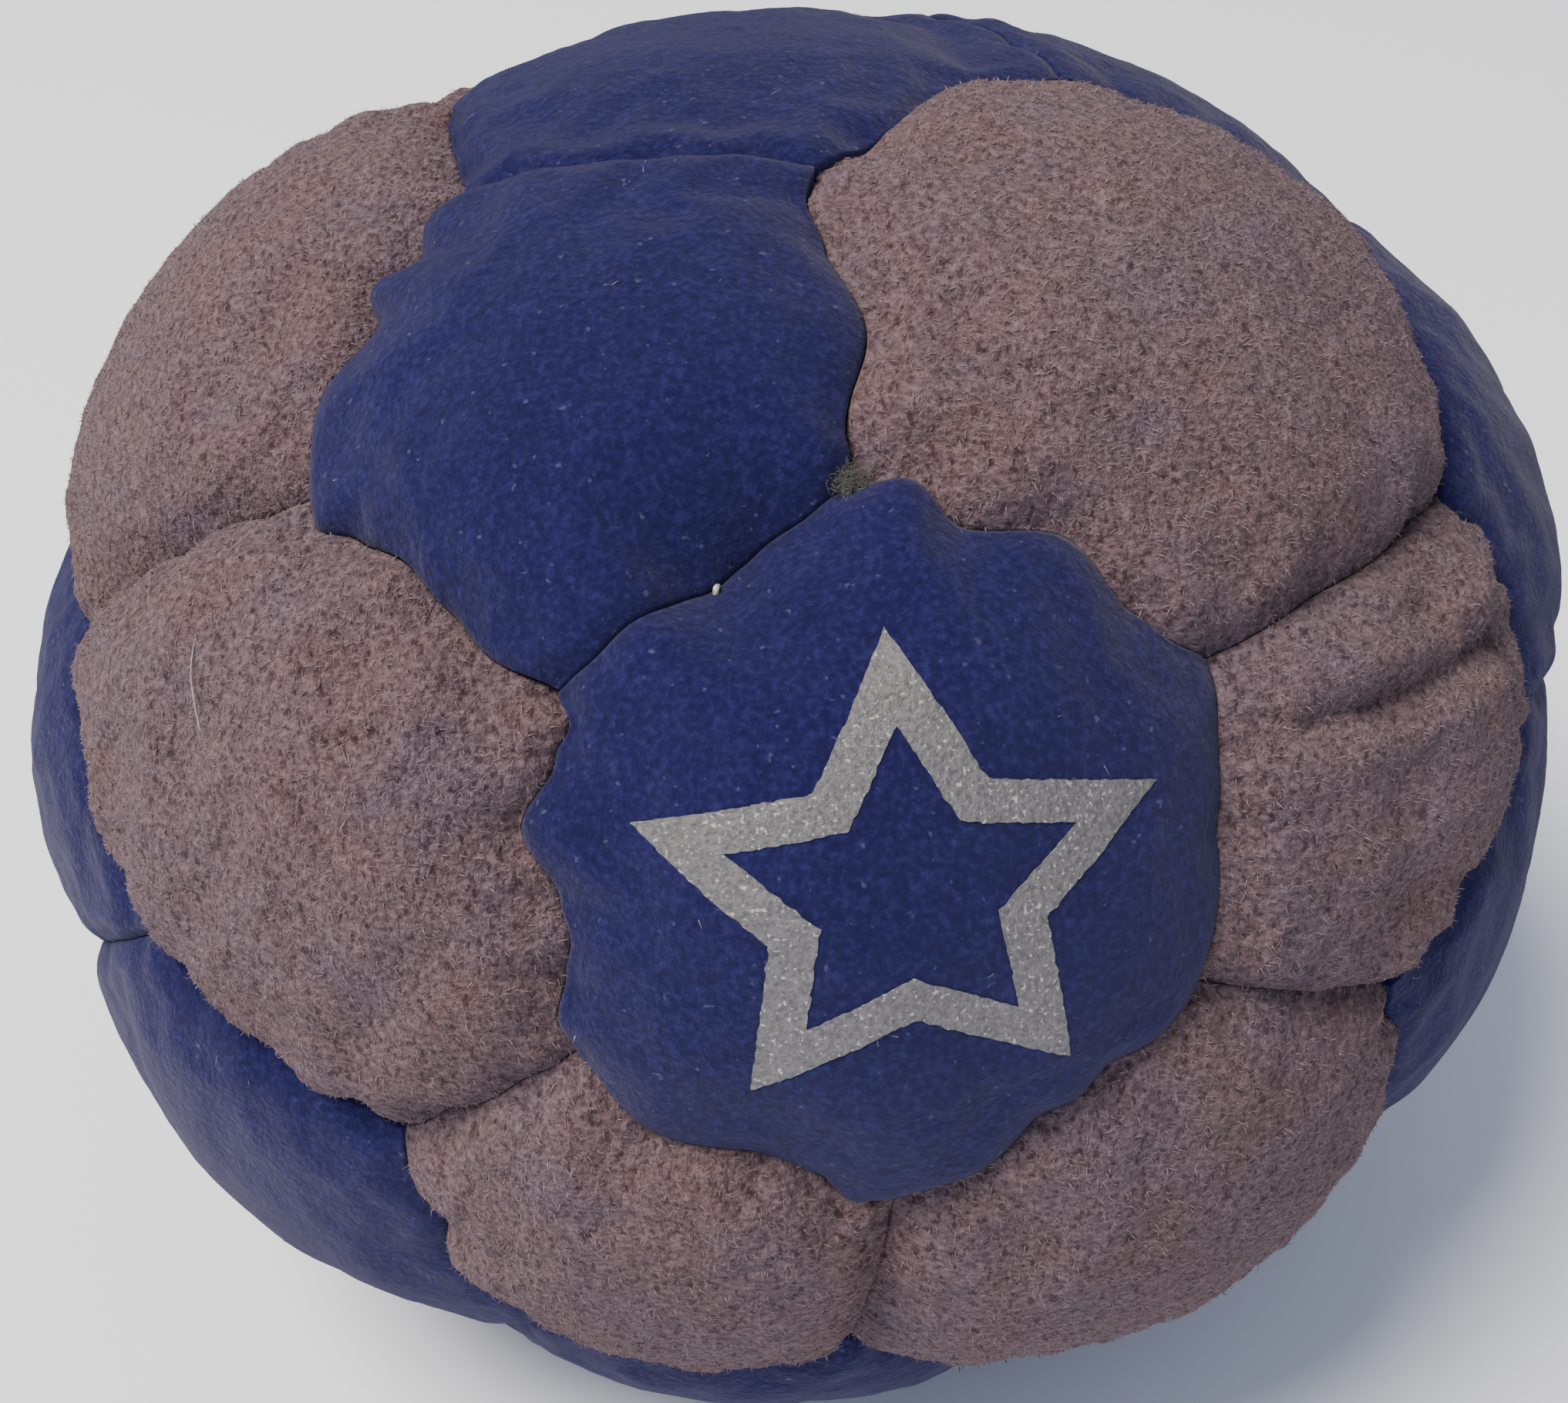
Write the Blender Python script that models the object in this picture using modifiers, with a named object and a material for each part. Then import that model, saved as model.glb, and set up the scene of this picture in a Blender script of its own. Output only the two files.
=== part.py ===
"""Juggling ball: a stitched suede sack of 32 panels, settled on its base.

Metres, +Z up. The origin is on the table, under the middle of the ball. Twelve
pentagons and twenty hexagons, half of them blue and half grey, are each a cut
piece of suede whose edge is turned in along its seams. A thread runs along the
bottom of every seam, a hand stitch closes the seam above the printed panel,
and a loose filling packs the sack.
"""

import math

import bmesh
import bpy
from mathutils import Euler, Vector
from mathutils.bvhtree import BVHTree

MM = 0.001
NAME = "juggling_ball"

# The sack: a ball through the seams, lowered by its own weight onto a soft base.
SEAM_RADIUS = 26.9 * MM
SETTLE = 0.87
CENTRE_HEIGHT = 21.2 * MM
BASE_LIFT = 1.0 * MM
BASE_SOFTNESS = 1.2 * MM
LEAN = Euler([math.radians(angle) for angle in (-8.0, 33.0, 13.0)])

# The suede: its thickness, its turned-in edge, and how far it swells between seams,
# with the mm that some panels swell more or less.
SUEDE = 0.9 * MM
TURNED_EDGE = 2.5 * MM
SEAM_GAP = 0.3 * MM
HEXAGON_SWELL = 1.65 * MM
PENTAGON_SWELL = 1.3 * MM
SWELL_SHAPE = 2.3
SWELL_CHANGE = {
    3: -0.4,
    6: -0.1,
    8: -1.4,
    11: -0.6,
    12: -0.1,
    18: -0.8,
    21: 0.3,
    22: 0.1,
    27: 0.2,
    28: -0.2,
    29: -1.4,
    30: -1.2,
}
EDGE_CUTS = 3

# Blue (b) or grey (g) for each panel, in the order of the solid's faces.
PANEL_COLOURS = "gbgbbbgbgggbbbggbgbgbgggbgbgbbgb"
PRINTED_PANEL = 20
CLOSED_PANEL = 7

# Hand sewing left some corners off the true net: mm to the east and to the north.
CORNER_DRIFT = {
    10: (0.8, 0.0),
    11: (0.0, -1.8),
    12: (-0.5, -0.9),
    13: (0.0, -0.7),
    14: (2.2, 1.4),
    16: (2.5, 1.8),
    17: (-2.0, -1.2),
    30: (-1.1, 0.5),
    31: (-2.2, 2.0),
    32: (-0.5, 1.0),
    33: (2.0, -0.8),
    34: (-0.5, 0.0),
    37: (-1.1, 0.7),
    38: (0.3, 1.5),
    39: (-0.8, 0.4),
    41: (-1.5, 0.0),
    42: (-2.4, 0.0),
    55: (2.6, -2.0),
    59: (2.0, -1.2),
}

# The thread that lies in the bottom of every seam.
THREAD_WIDTH = 0.45 * MM
THREAD_LIFT = 0.55 * MM
THREAD_CUTS = 1

# The hand stitch that closes one seam: a zigzag over the thread.
STITCH_TURNS = 7
STITCH_RADIUS = 0.16 * MM
STITCH_REACH = 0.6 * MM
STITCH_LIFT = 1.2 * MM

# The filling stays clear of the suede and of its turned-in edges. From the groove
# under a seam it rises over a narrow bank, and then swells under the panel.
FILLING_GAP = 0.4 * MM
BANK_WIDTH = 0.3 * MM
BANK_LIFT = -1.35 * MM

# The printed star, an open outline.
STAR_POINTS = 5
STAR_RADIUS = 7.4 * MM
STAR_WAIST = 0.5
STAR_BAND = 1.2 * MM
INK = 0.12 * MM
INK_GAP = 0.3 * MM

BLUE = (0.026, 0.031, 0.100, 1.0)
GREY = (0.165, 0.112, 0.125, 1.0)
THREAD_COLOUR = (0.018, 0.016, 0.018, 1.0)
STITCH_COLOUR = (0.600, 0.560, 0.480, 1.0)
SILVER = (0.230, 0.220, 0.235, 1.0)
GRAIN = (0.450, 0.360, 0.240, 1.0)


def clear_scene():
    for old in list(bpy.data.objects):
        bpy.data.objects.remove(old, do_unlink=True)


def material(name, colour, roughness, metallic=0.0):
    made = bpy.data.materials.new(name)
    made.use_nodes = True
    surface = made.node_tree.nodes["Principled BSDF"]
    surface.inputs["Base Color"].default_value = colour
    surface.inputs["Roughness"].default_value = roughness
    surface.inputs["Metallic"].default_value = metallic
    made.diffuse_color = colour
    return made


def add_object(name, data, look, collection):
    data.materials.append(look)
    obj = bpy.data.objects.new(name, data)
    collection.objects.link(obj)
    return obj


def add_mesh(name, bm, look, collection):
    mesh = bpy.data.meshes.new(name)
    bm.to_mesh(mesh)
    bm.free()
    mesh.shade_smooth()
    return add_object(name, mesh, look, collection)


def make_net():
    """The 32 faces of the ball on a sphere of radius 1, leaning as the ball lies."""
    bm = bmesh.new()
    bmesh.ops.create_icosphere(bm, subdivisions=1, radius=1.0)
    bmesh.ops.bevel(
        bm,
        geom=bm.verts[:],
        offset=100 / 3,
        offset_type="PERCENT",
        segments=1,
        affect="VERTICES",
    )
    bmesh.ops.rotate(bm, verts=bm.verts, matrix=LEAN.to_matrix())
    bm.verts.ensure_lookup_table()
    bm.faces.ensure_lookup_table()
    for vert in bm.verts:
        vert.co.normalize()
    for number, (east, north) in CORNER_DRIFT.items():
        corner = bm.verts[number].co
        eastward = Vector((0.0, 0.0, 1.0)).cross(corner).normalized()
        northward = corner.cross(eastward)
        corner += (eastward * east + northward * north) * (MM / SEAM_RADIUS)
        corner.normalize()
    return bm


def settled(direction, lift, floor=0.0):
    """The sack's point in this direction: on the seams' surface, then out by lift."""
    point = direction.normalized() * SEAM_RADIUS
    point.z *= SETTLE
    outward = Vector((point.x, point.y, point.z / SETTLE**2)).normalized()
    above = point.z + CENTRE_HEIGHT - BASE_LIFT
    point.z = BASE_LIFT + 0.5 * (above + math.hypot(above, BASE_SOFTNESS))
    point += outward * lift
    point.z = max(point.z, floor)
    return point


def swell(inland, number, size):
    """How far a panel stands out, from 0 on its seams to the most in its middle."""
    most = HEXAGON_SWELL if size == 6 else PENTAGON_SWELL
    most += SWELL_CHANGE.get(number, 0.0) * MM
    return most * (1 - (1 - inland) ** SWELL_SHAPE)


def keep_face(bm, number):
    bm.faces.ensure_lookup_table()
    kept = bm.faces[number]
    others = [face for face in bm.faces if face is not kept]
    bmesh.ops.delete(bm, geom=others, context="FACES")
    return kept


def shrink(bm, face, distance):
    """Draws a face in from its edges and drops the margin that this leaves."""
    margin = bmesh.ops.inset_individual(
        bm, faces=[face], thickness=distance / SEAM_RADIUS, use_even_offset=True
    )["faces"]
    bmesh.ops.delete(bm, geom=margin, context="FACES")


def make_skin(number):
    """One panel's outer skin: a swollen cap with its edge turned straight in."""
    bm = make_net()
    face = keep_face(bm, number)
    size = len(face.verts)
    shrink(bm, face, SEAM_GAP / 2)
    inland = bm.verts.layers.float.new("inland")
    for centre in bmesh.ops.poke(bm, faces=bm.faces[:])["verts"]:
        centre[inland] = 1.0
    bmesh.ops.subdivide_edges(bm, edges=bm.edges[:], cuts=EDGE_CUTS, use_grid_fill=True)
    rim = [edge for edge in bm.edges if edge.is_boundary]
    turned = bmesh.ops.extrude_edge_only(bm, edges=rim)["geom"]
    lowered = {item for item in turned if isinstance(item, bmesh.types.BMVert)}
    for vert in bm.verts:
        lift = -TURNED_EDGE if vert in lowered else swell(vert[inland], number, size)
        vert.co = settled(vert.co, lift)
    bmesh.ops.recalc_face_normals(bm, faces=bm.faces[:])
    middle = Vector((0.0, 0.0, CENTRE_HEIGHT))
    cap = max(bm.faces, key=lambda f: (f.calc_center_median() - middle).length)
    if cap.normal.dot(cap.calc_center_median() - middle) < 0:
        bmesh.ops.reverse_faces(bm, faces=bm.faces[:])
    return bm


def add_panels(looks, collection):
    net = make_net()
    order = sorted(net.faces, key=lambda f: -f.calc_center_median().z)
    counts = {}
    for face in order:
        colour = {"b": "blue", "g": "grey"}[PANEL_COLOURS[face.index]]
        shape = "hexagon" if len(face.verts) == 6 else "pentagon"
        kind = f"{colour}_{shape}"
        counts[kind] = counts.get(kind, 0) + 1
        name = f"{kind}_{counts[kind]:02d}"
        panel = add_mesh(name, make_skin(face.index), looks[colour], collection)
        suede = panel.modifiers.new("suede", "SOLIDIFY")
        suede.thickness = SUEDE
        suede.offset = -1.0
        suede.use_even_offset = True
    net.free()


def add_thread(look, collection):
    """The thread in the seams: one branching strand along the net's edges."""
    bm = make_net()
    bmesh.ops.subdivide_edges(bm, edges=bm.edges[:], cuts=THREAD_CUTS)
    panels = bm.faces[:]
    width = THREAD_WIDTH / SEAM_RADIUS
    bmesh.ops.inset_individual(bm, faces=panels, thickness=width / 2, use_even_offset=True)
    bmesh.ops.delete(bm, geom=panels, context="FACES")
    for vert in bm.verts:
        vert.co = settled(vert.co, THREAD_LIFT)
    thread = add_mesh("seam_thread", bm, look, collection)
    strand = thread.modifiers.new("strand", "SOLIDIFY")
    strand.thickness = THREAD_WIDTH
    strand.offset = 0.0


def add_filling(look, collection):
    """The filling: swollen under each panel, grooved where the panels' edges turn in."""
    bm = make_net()
    below = SUEDE + FILLING_GAP
    groove = SEAM_GAP / 2 + below
    groove_lift = -TURNED_EDGE - FILLING_GAP
    lifts = {vert: groove_lift for vert in bm.verts}
    for number, face in enumerate(bm.faces[:]):
        size = len(face.verts)
        for width, lift in ((groove, groove_lift), (BANK_WIDTH, BANK_LIFT)):
            bmesh.ops.inset_individual(
                bm, faces=[face], thickness=width / SEAM_RADIUS, use_even_offset=True
            )
            lifts.update({vert: lift for vert in face.verts})
        middle = bmesh.ops.poke(bm, faces=[face])["verts"][0]
        lifts[middle] = swell(1.0, number, size) - below
    for vert, lift in lifts.items():
        vert.co = settled(vert.co, lift, floor=below)
    add_mesh("filling", bm, look, collection)


def skin_tree(number):
    """The outer skin of one panel, for laying something on it."""
    bm = make_skin(number)
    tree = BVHTree.FromBMesh(bm)
    bm.free()
    return tree


def lay_on(tree, direction, gap):
    """A point over the skin, straight out from the ball's middle in this direction."""
    middle = Vector((0.0, 0.0, CENTRE_HEIGHT))
    outside = middle + direction.normalized() * (2 * SEAM_RADIUS)
    hit, normal, _, _ = tree.ray_cast(outside, middle - outside)
    return hit + normal * gap


def add_star(look, collection):
    """The printed star: the outline of a star, laid on the swell of its panel."""
    net = make_net()
    net.faces.ensure_lookup_table()
    outward = net.faces[PRINTED_PANEL].calc_center_median().normalized()
    net.free()
    right = Vector((0.0, 0.0, 1.0)).cross(outward).normalized()
    up = outward.cross(right)
    bm = bmesh.new()
    points = 2 * STAR_POINTS
    ring = bmesh.ops.create_circle(bm, cap_ends=True, segments=points, radius=STAR_RADIUS)
    for number, vert in enumerate(ring["verts"]):
        if number % 2:
            vert.co *= STAR_WAIST
    face = bm.faces[:]
    bmesh.ops.inset_individual(bm, faces=face, thickness=STAR_BAND, use_even_offset=True)
    bmesh.ops.delete(bm, geom=face, context="FACES")
    bmesh.ops.subdivide_edges(bm, edges=bm.edges[:], cuts=1, use_grid_fill=True)
    tree = skin_tree(PRINTED_PANEL)
    for vert in bm.verts:
        direction = outward * SEAM_RADIUS + right * vert.co.x + up * vert.co.y
        direction.z *= SETTLE
        vert.co = lay_on(tree, direction, INK_GAP)
    bmesh.ops.recalc_face_normals(bm, faces=bm.faces[:])
    star = add_mesh("printed_star", bm, look, collection)
    ink = star.modifiers.new("ink", "SOLIDIFY")
    ink.thickness = INK
    ink.offset = 0.0


def add_closing_stitch(look, collection):
    """A zigzag of thread over the seam between the printed panel and the one above."""
    net = make_net()
    net.faces.ensure_lookup_table()
    shared = set(net.faces[PRINTED_PANEL].edges) & set(net.faces[CLOSED_PANEL].edges)
    start, end = (vert.co.copy() for vert in shared.pop().verts)
    net.free()
    side = start.cross(end).normalized() * (STITCH_REACH / SEAM_RADIUS)
    curve = bpy.data.curves.new("closing_stitch", "CURVE")
    curve.dimensions = "3D"
    curve.bevel_depth = STITCH_RADIUS
    curve.bevel_resolution = 1
    curve.use_fill_caps = True
    path = curve.splines.new("POLY")
    path.points.add(STITCH_TURNS - 1)
    for number, point in enumerate(path.points):
        along = 0.3 + 0.4 * number / (STITCH_TURNS - 1)
        way = start.lerp(end, along) + side * (1 if number % 2 else -1)
        point.co = (*settled(way, STITCH_LIFT), 1.0)
    add_object("closing_stitch", curve, look, collection)


def build():
    clear_scene()
    collection = bpy.data.collections.new(NAME)
    bpy.context.scene.collection.children.link(collection)
    looks = {
        "blue": material("blue_suede", BLUE, 0.9),
        "grey": material("grey_suede", GREY, 0.95),
        "thread": material("thread", THREAD_COLOUR, 0.8),
        "stitch": material("pale_thread", STITCH_COLOUR, 0.6),
        "silver": material("silver_ink", SILVER, 0.45, 0.3),
        "grain": material("grain", GRAIN, 0.9),
    }
    add_panels(looks, collection)
    add_thread(looks["thread"], collection)
    add_closing_stitch(looks["stitch"], collection)
    add_star(looks["silver"], collection)
    add_filling(looks["grain"], collection)


build()
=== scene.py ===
import math

import bmesh
import bpy
import numpy as np
from mathutils import Euler, Matrix, Vector
from mathutils.bvhtree import BVHTree


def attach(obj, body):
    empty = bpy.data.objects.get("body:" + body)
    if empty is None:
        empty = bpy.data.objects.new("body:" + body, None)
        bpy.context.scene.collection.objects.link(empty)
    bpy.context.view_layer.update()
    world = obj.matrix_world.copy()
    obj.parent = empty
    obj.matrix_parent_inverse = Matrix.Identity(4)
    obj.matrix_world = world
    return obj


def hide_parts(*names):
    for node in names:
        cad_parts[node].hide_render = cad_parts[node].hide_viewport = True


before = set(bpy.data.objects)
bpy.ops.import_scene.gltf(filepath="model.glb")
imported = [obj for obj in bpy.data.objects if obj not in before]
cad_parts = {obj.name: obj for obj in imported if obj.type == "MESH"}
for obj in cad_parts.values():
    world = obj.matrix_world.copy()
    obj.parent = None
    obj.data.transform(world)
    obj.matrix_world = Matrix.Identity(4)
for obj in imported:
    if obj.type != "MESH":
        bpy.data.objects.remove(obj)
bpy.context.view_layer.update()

# ---------------------------------------------------------------- the sack, as in the CAD
# Lengths are in mm, and the meshes in metres.
MM = 0.001
RADIUS = 26.9
# Resting lowers the ball to this share of its height, with its middle this high.
SETTLE = 0.87
CENTRE = 21.2
# How high the seams' surface stays over the table, and how softly it levels out there.
BASE_LIFT = 1.0
BASE_SOFTNESS = 1.2
LEAN = Euler([math.radians(angle) for angle in (-8.0, 33.0, 13.0)])
SUEDE = 0.9
TURNED_EDGE = 2.5
HEXAGON_SWELL = 1.65
PENTAGON_SWELL = 1.3
SWELL_CHANGE = {
    3: -0.4, 6: -0.1, 8: -1.4, 11: -0.6, 12: -0.1, 18: -0.8, 21: 0.3, 22: 0.1, 27: 0.2, 28: -0.2,
    29: -1.4, 30: -1.2,
}
# Blue (b) or grey (g) for each panel of the net.
PANEL_COLOURS = "gbgbbbgbgggbbbggbgbgbgggbgbgbbgb"
# The hexagon with the print and the pentagon above it. Their seam was closed last.
PRINTED_PANEL = 20
CLOSED_PANEL = 7
# Corners that the sewing left off the true net: mm to the east and to the north.
CORNER_DRIFT = {
    10: (0.8, 0.0), 11: (0.0, -1.8), 12: (-0.5, -0.9), 13: (0.0, -0.7), 14: (2.2, 1.4),
    16: (2.5, 1.8), 17: (-2.0, -1.2), 30: (-1.1, 0.5), 31: (-2.2, 2.0), 32: (-0.5, 1.0),
    33: (2.0, -0.8), 34: (-0.5, 0.0), 37: (-1.1, 0.7), 38: (0.3, 1.5), 39: (-0.8, 0.4),
    41: (-1.5, 0.0), 42: (-2.4, 0.0), 55: (2.6, -2.0), 59: (2.0, -1.2),
}

# ---------------------------------------------------------------- the fine surface
# A panel's sides are cut into this many parts for the simulation, and each part then into
# this many for the finished mesh.
COARSE = 16
FINE = 4
# The gap between neighbours, and about how far a panel's edge is from its middle: in the
# skin, and where the suede turns in.
GAP = 0.05
EDGE_REACH = 8.5
TURNED_REACH = 9.0
# How round the panels' shoulders are: less is steeper at the seam.
SHOULDER = 0.42
# How far the nap stands up and down, and its curl, at their grains.
NAP_GRAIN = 0.7
CURL_GRAIN = 0.36
NAP_RELIEF = {"b": (0.020, 0.012), "g": (0.070, 0.050)}
# The short ribs that the stitches press into the grey nap along its edges.
RIB_SPACING = 0.62
RIB_RELIEF = 0.065
# Soft folds: the panel, where each starts and ends as shares of the net's corners, how
# deep it is, how wide, and how full the roll beside it is, in mm.
FOLDS = [
    (6, {34: 0.62, 30: 0.22, 33: 0.10, 31: 0.06}, {33: 0.45, 32: 0.50, 34: 0.05}, 0.60, 0.60, 0.20),
    (6, {30: 0.45, 31: 0.35, 34: 0.20}, {31: 0.45, 32: 0.45, 33: 0.10}, 0.22, 1.1, 0.15),
    (27, {37: 0.80, 38: 0.10, 34: 0.10}, {37: 0.45, 34: 0.35, 38: 0.20}, 0.28, 0.8, 0.15),
    (27, {34: 0.72, 37: 0.14, 33: 0.14}, {34: 0.45, 33: 0.25, 37: 0.30}, 0.25, 0.9, 0.15),
    (21, {36: 0.75, 35: 0.15, 13: 0.10}, {36: 0.40, 35: 0.25, 13: 0.35}, 0.25, 0.9, 0.12),
    (22, {35: 0.80, 39: 0.10, 17: 0.10}, {35: 0.45, 39: 0.35, 17: 0.20}, 0.25, 0.9, 0.12),
]
# The waves of the seams between these two panels and the grey ones, and of one seam that
# runs on from the pentagon: from the seam's first corner, the share of its length where
# each wave ends and how many mm the blue suede bulges over the grey there.
WAVES = {
    (12, 13): ((0.25, 0.45), (0.42, -0.15), (1.0, 0.85)),
    (12, 30): ((0.45, 0.45), (0.68, 0.10), (1.0, 0.25)),
    (13, 36): ((0.25, 0.30), (0.46, -0.30), (0.83, 0.95), (1.0, -0.45)),
    (30, 34): ((0.5, 0.12), (1.0, -0.12)),
    (34, 37): ((0.25, -0.28), (0.72, 1.00), (1.0, 0.60)),
    (35, 36): ((0.25, 0.55), (0.62, -0.40), (1.0, 0.35)),
    (35, 39): ((0.50, 0.60), (0.74, 0.95), (1.0, 0.50)),
    (37, 38): ((0.12, 0.10), (0.70, 0.85), (1.0, -0.40)),
    (38, 59): ((0.18, 0.05), (1.0, -0.90)),
}
# How strongly the stitches and the waves show in the relief of each suede: the blue one
# is smooth up to its edge.
EDGE_RELIEF = {"b": 0.35, "g": 0.9}
# Corners that the sewing pulls into a pit: how deep and how wide.
PITS = {37: (0.8, 0.9), 36: (0.35, 0.8), 34: (0.25, 0.8), 13: (0.25, 0.8)}

# How far the seam between two blue panels stands up, how much deeper the one between two
# grey panels lies, and how the seam above the print, closed last, gapes.
BLUE_SEAM_RAISED = 0.40
GREY_SEAM_DEPTH = 0.15
CLOSED_SEAM_DEPTH = 0.15
CLOSED_SEAM_SLACK = 4.8

# The cloth simulation of the panels, in a ball enlarged by this much. Of its result only
# wrinkles up to the cap are kept, softened for each colour.
SIM_SCALE = 20.0
SIM_FRAMES = 16
SLACK = 0.07
WRINKLE_CAP = 0.45
WRINKLE_GAIN = {"b": 0.5, "g": 0.8}

# ---------------------------------------------------------------- fibres, print and filling
TUFT_CORNER = 37
TUFT_FIBRES = 420
TUFT_SPREAD = 0.25
# Where the caught hair lies, as shares of the corners of the panel it lies on.
HAIR_PANEL = 21
HAIR_PLACE = {17: 0.19, 35: 0.28, 36: 0.31, 16: 0.22}
HAIR_REACH = 1.2

STAR_POINTS = 5
STAR_RADIUS = 7.4
STAR_WAIST = 0.5
STAR_BAND = 1.2
INK_GRAIN = 0.08
INK_LIFT = 0.035

THREAD_RADIUS = 0.11
STITCH_RADIUS = 0.09
# The closing stitches: the share of the seam that they cover, how many times they cross
# it, and where the one that shows stands up.
STITCH_START = 0.30
STITCH_RUN = 0.40
STITCH_TURNS = 7
STITCH_SHOWN = 0.52

GRAINS = 2200
GRAIN_RADIUS = 0.95

# ---------------------------------------------------------------- camera
# How far it is from the ball's middle, and how far left of it and below it it looks.
ELEVATION = math.radians(35.0)
ROLL = math.radians(-0.9)
DISTANCE = 82.15
AIM_LEFT = 0.39
AIM_DOWN = 1.48
LENS = 49.0


def unit(v):
    return v / np.linalg.norm(v, axis=-1, keepdims=True)


def hump(distance, width):
    """1 at no distance, falling smoothly away over this width."""
    return np.exp(-((distance / width) ** 2))


def add_object(name, data, look):
    data.materials.append(look)
    obj = bpy.data.objects.new(name, data)
    bpy.context.scene.collection.objects.link(obj)
    return obj


def noise(points, seed):
    """Smooth value noise from -1 to 1 with a grain of one unit."""
    cell = np.floor(points).astype(np.int64)
    part = points - cell
    part = part * part * (3 - 2 * part)
    total = np.zeros(len(points))
    for dx in (0, 1):
        for dy in (0, 1):
            for dz in (0, 1):
                mixed = (cell[:, 0] + dx) * 374761393 + (cell[:, 1] + dy) * 668265263
                mixed += (cell[:, 2] + dz) * 1440662683 + seed * 974634777
                mixed = (mixed ^ (mixed >> 13)) * 1274126177
                value = ((mixed ^ (mixed >> 16)) & 0xFFFFFF) / 0x7FFFFF - 1
                wx = part[:, 0] if dx else 1 - part[:, 0]
                wy = part[:, 1] if dy else 1 - part[:, 1]
                wz = part[:, 2] if dz else 1 - part[:, 2]
                total += value * wx * wy * wz
    return total


# ---------------------------------------------------------------- the net and its seams
def make_net():
    """The 32 faces of the ball on a sphere of radius 1, leaning as the ball lies."""
    bm = bmesh.new()
    bmesh.ops.create_icosphere(bm, subdivisions=1, radius=1.0)
    bmesh.ops.bevel(
        bm, geom=bm.verts[:], offset=100 / 3, offset_type="PERCENT", segments=1, affect="VERTICES"
    )
    bmesh.ops.rotate(bm, verts=bm.verts, matrix=LEAN.to_matrix())
    bm.verts.ensure_lookup_table()
    bm.faces.ensure_lookup_table()
    for vert in bm.verts:
        vert.co.normalize()
    for number, (east, north) in CORNER_DRIFT.items():
        corner = bm.verts[number].co
        eastward = Vector((0.0, 0.0, 1.0)).cross(corner).normalized()
        northward = corner.cross(eastward)
        corner += (eastward * east + northward * north) / RADIUS
        corner.normalize()
    return bm


def settled(directions, lift):
    """Points in metres: where each direction meets the seams' surface, then out by lift."""
    point = unit(directions) * RADIUS
    point[:, 2] *= SETTLE
    outward = unit(point / np.array([1, 1, SETTLE**2]))
    above = point[:, 2] + CENTRE - BASE_LIFT
    point[:, 2] = BASE_LIFT + 0.5 * (above + np.hypot(above, BASE_SOFTNESS))
    point = point + outward * np.reshape(lift, (-1, 1))
    point[:, 2] = np.maximum(point[:, 2], 0.0)
    return point * MM


class Seam:
    """One seam: its arc from corner a to corner b, its stitches and how its line wanders.

    bold is how far its waves go, and its sign which way: towards the seam's normal or not.
    """

    def __init__(self, key, corners, bold):
        a, b = key
        rng = np.random.default_rng(1000 + a * 61 + b)
        self.start = corners[a]
        self.normal = unit(np.cross(self.start, corners[b]))
        self.forward = np.cross(self.normal, self.start)
        self.angle = math.acos(np.clip(self.start @ corners[b], -1, 1))
        self.length = self.angle * RADIUS
        count = rng.integers(2, 5)
        self.stitches = (np.arange(count) + 0.5 + rng.uniform(-0.22, 0.22, count)) / count
        self.pull = rng.uniform(0.6, 1.3, count)
        self.knots = np.concatenate([[0.0], self.stitches, [1.0]])
        side = np.sign(rng.uniform(-0.08, 1, count + 1)) * bold
        self.bulge = side * rng.uniform(0.15, 0.85, count + 1) * rng.uniform(0.45, 1.0)
        self.bulge[[0, -1]] *= 0.4
        self.depth = rng.uniform(0.05, 0.18)
        self.slack = 0.0
        self.raised = 0.0
        if key in WAVES:
            stops, reach = np.array(WAVES[key]).T
            self.stitches, self.pull = stops[:-1], np.full(len(stops) - 1, 0.8)
            self.knots = np.concatenate([[0.0], stops])
            self.bulge = -bold * reach

    def along(self, directions):
        """How far along the seam each direction is, from 0 to 1."""
        return np.arctan2(directions @ self.forward, directions @ self.start) / self.angle

    def line(self, along):
        """Directions along the seam's arc."""
        angle = along * self.angle
        return np.outer(np.cos(angle), self.start) + np.outer(np.sin(angle), self.forward)

    def wander(self, along):
        """How far the seam's line stands off its arc, towards its normal."""
        spot = np.clip(along, 0, 1)
        part = np.clip(np.searchsorted(self.knots, spot, "right") - 1, 0, len(self.bulge) - 1)
        low, high = self.knots[part], self.knots[part + 1]
        return self.bulge[part] * np.sin(np.pi * (spot - low) / (high - low)) ** 2

    def groove(self, along):
        """How deep the seam is drawn in: most of it on the stitches."""
        return self.depth + 0.15 * np.clip(self.tug(along, 0.9), 0, 1)

    def valley(self, along):
        """How far the panels fall away towards a seam that gapes past its middle."""
        return self.slack * np.exp(-(((along - 0.66) / 0.26) ** 4))

    def bed(self, along):
        """How far under the plain seam its thread lies."""
        return 0.85 + 1.5 * self.groove(along) + 0.30 * self.valley(along)

    def tug(self, along, width):
        """How strongly the stitches pull here: 1 on a stitch and 0 between them."""
        total = np.zeros(len(along))
        for place, pull in zip(self.stitches, self.pull):
            total += pull * hump((along - place) * self.length, width)
        return total


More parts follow.
